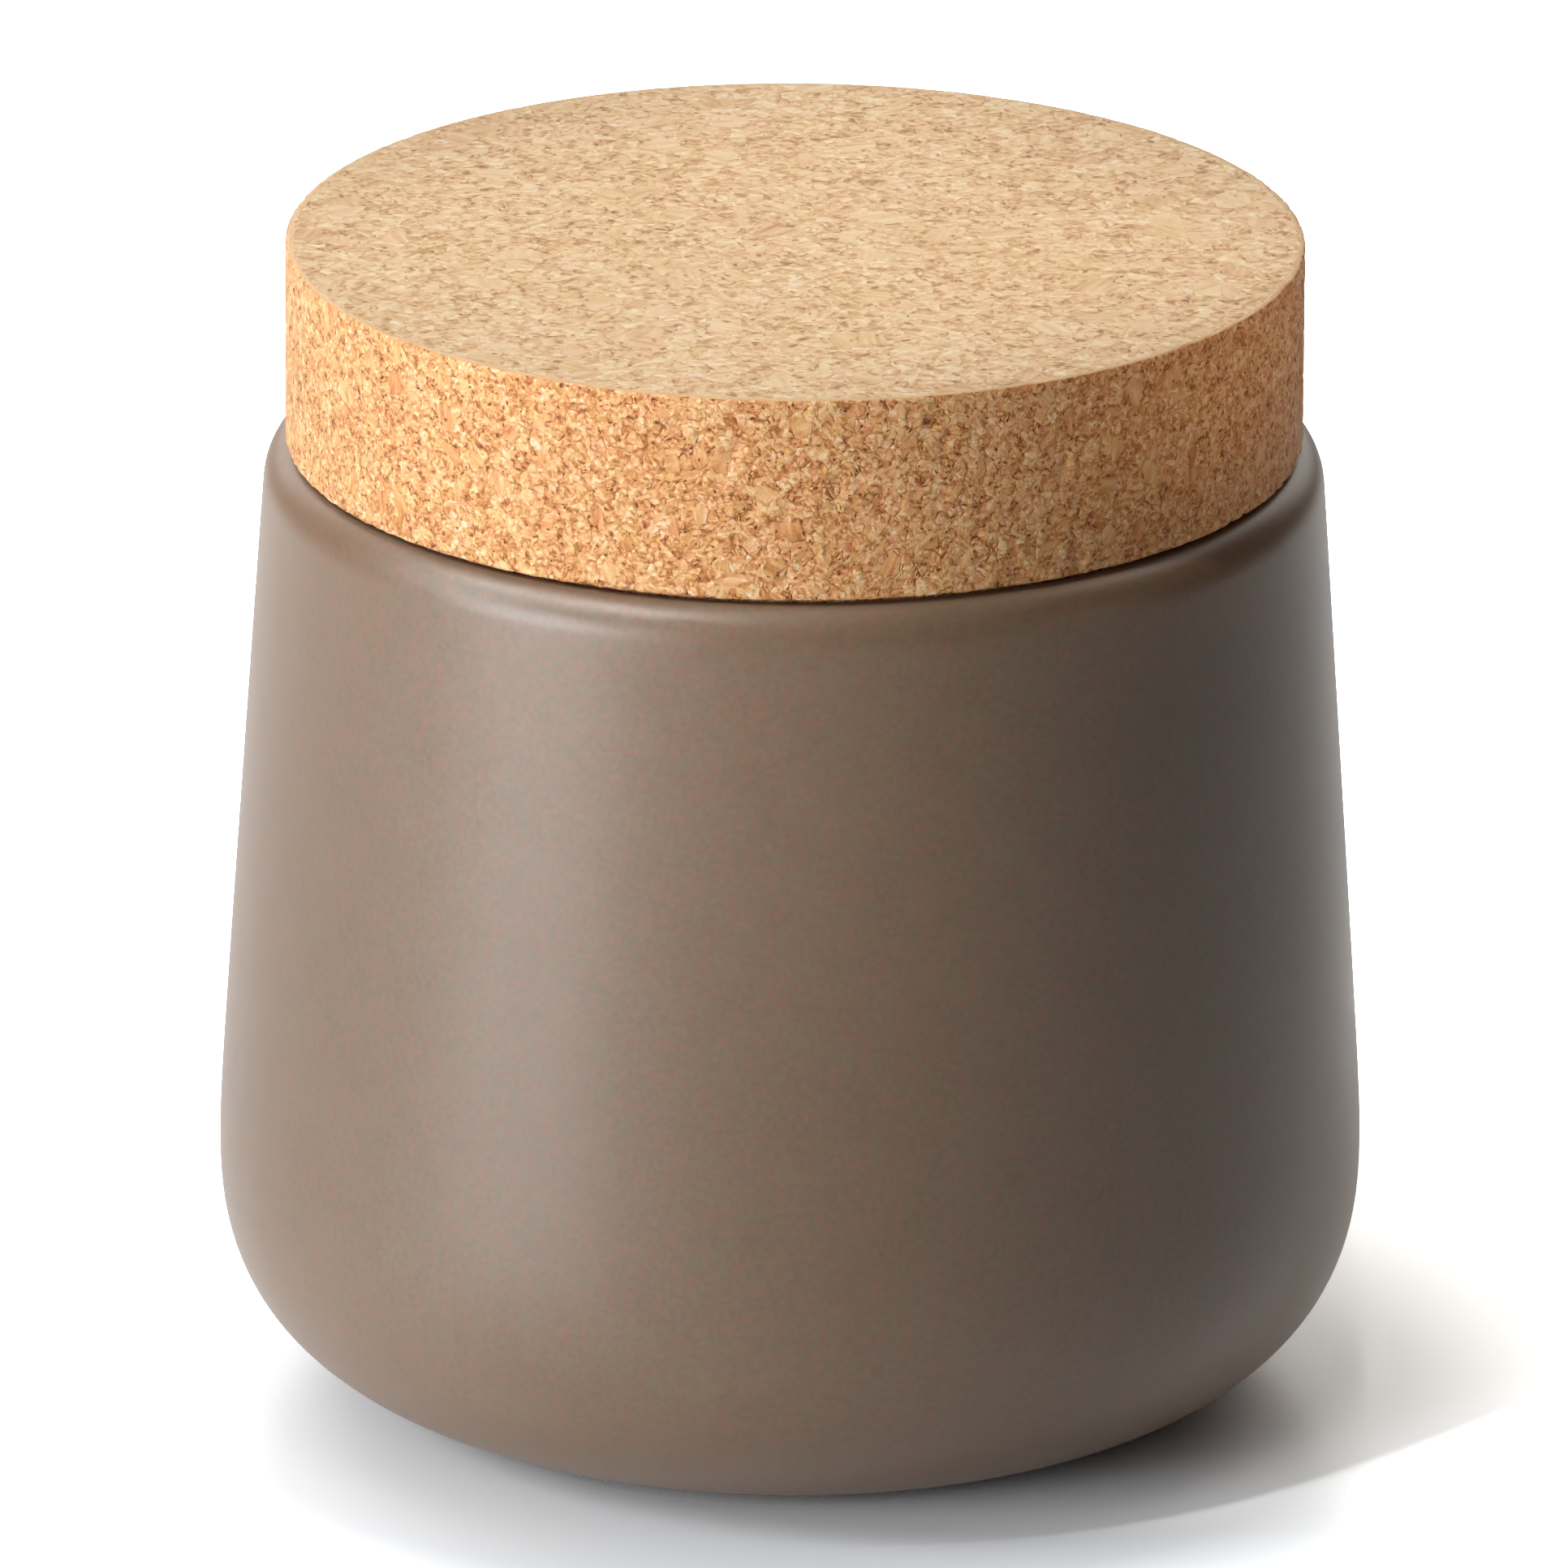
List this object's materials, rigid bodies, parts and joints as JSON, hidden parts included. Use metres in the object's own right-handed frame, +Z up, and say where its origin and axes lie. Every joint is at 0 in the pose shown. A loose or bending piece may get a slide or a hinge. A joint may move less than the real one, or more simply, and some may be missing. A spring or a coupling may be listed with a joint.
{
  "type": "ceramic canister",
  "caption": "Round ceramic storage canister with a tapered satin-glazed body, a rounded heel and lip, and a thick flat cork lid whose plug lifts out of the mouth.",
  "frame": {"origin": "centre of the foot ring, on the surface that the jar stands on", "axes": "+Z up, along the axis that the jar and the lid are turned about and the lid lifts along; -Y towards the front; +X to the right seen from the front"},
  "size_m": [0.13, 0.13, 0.1355],
  "materials": {
    "satin_glaze": "satin",
    "agglomerated_cork": "matte"
  },
  "bodies": {
    "jar": {"ceramic_jar": "satin_glaze"},
    "lid": {"cork_lid": "agglomerated_cork"}
  },
  "joints": [
    {"name": "lid_lift", "type": "slide", "parent": "jar", "child": "lid", "axis": [0, 0, 1], "range_m": [0, 0.12]}
  ]
}
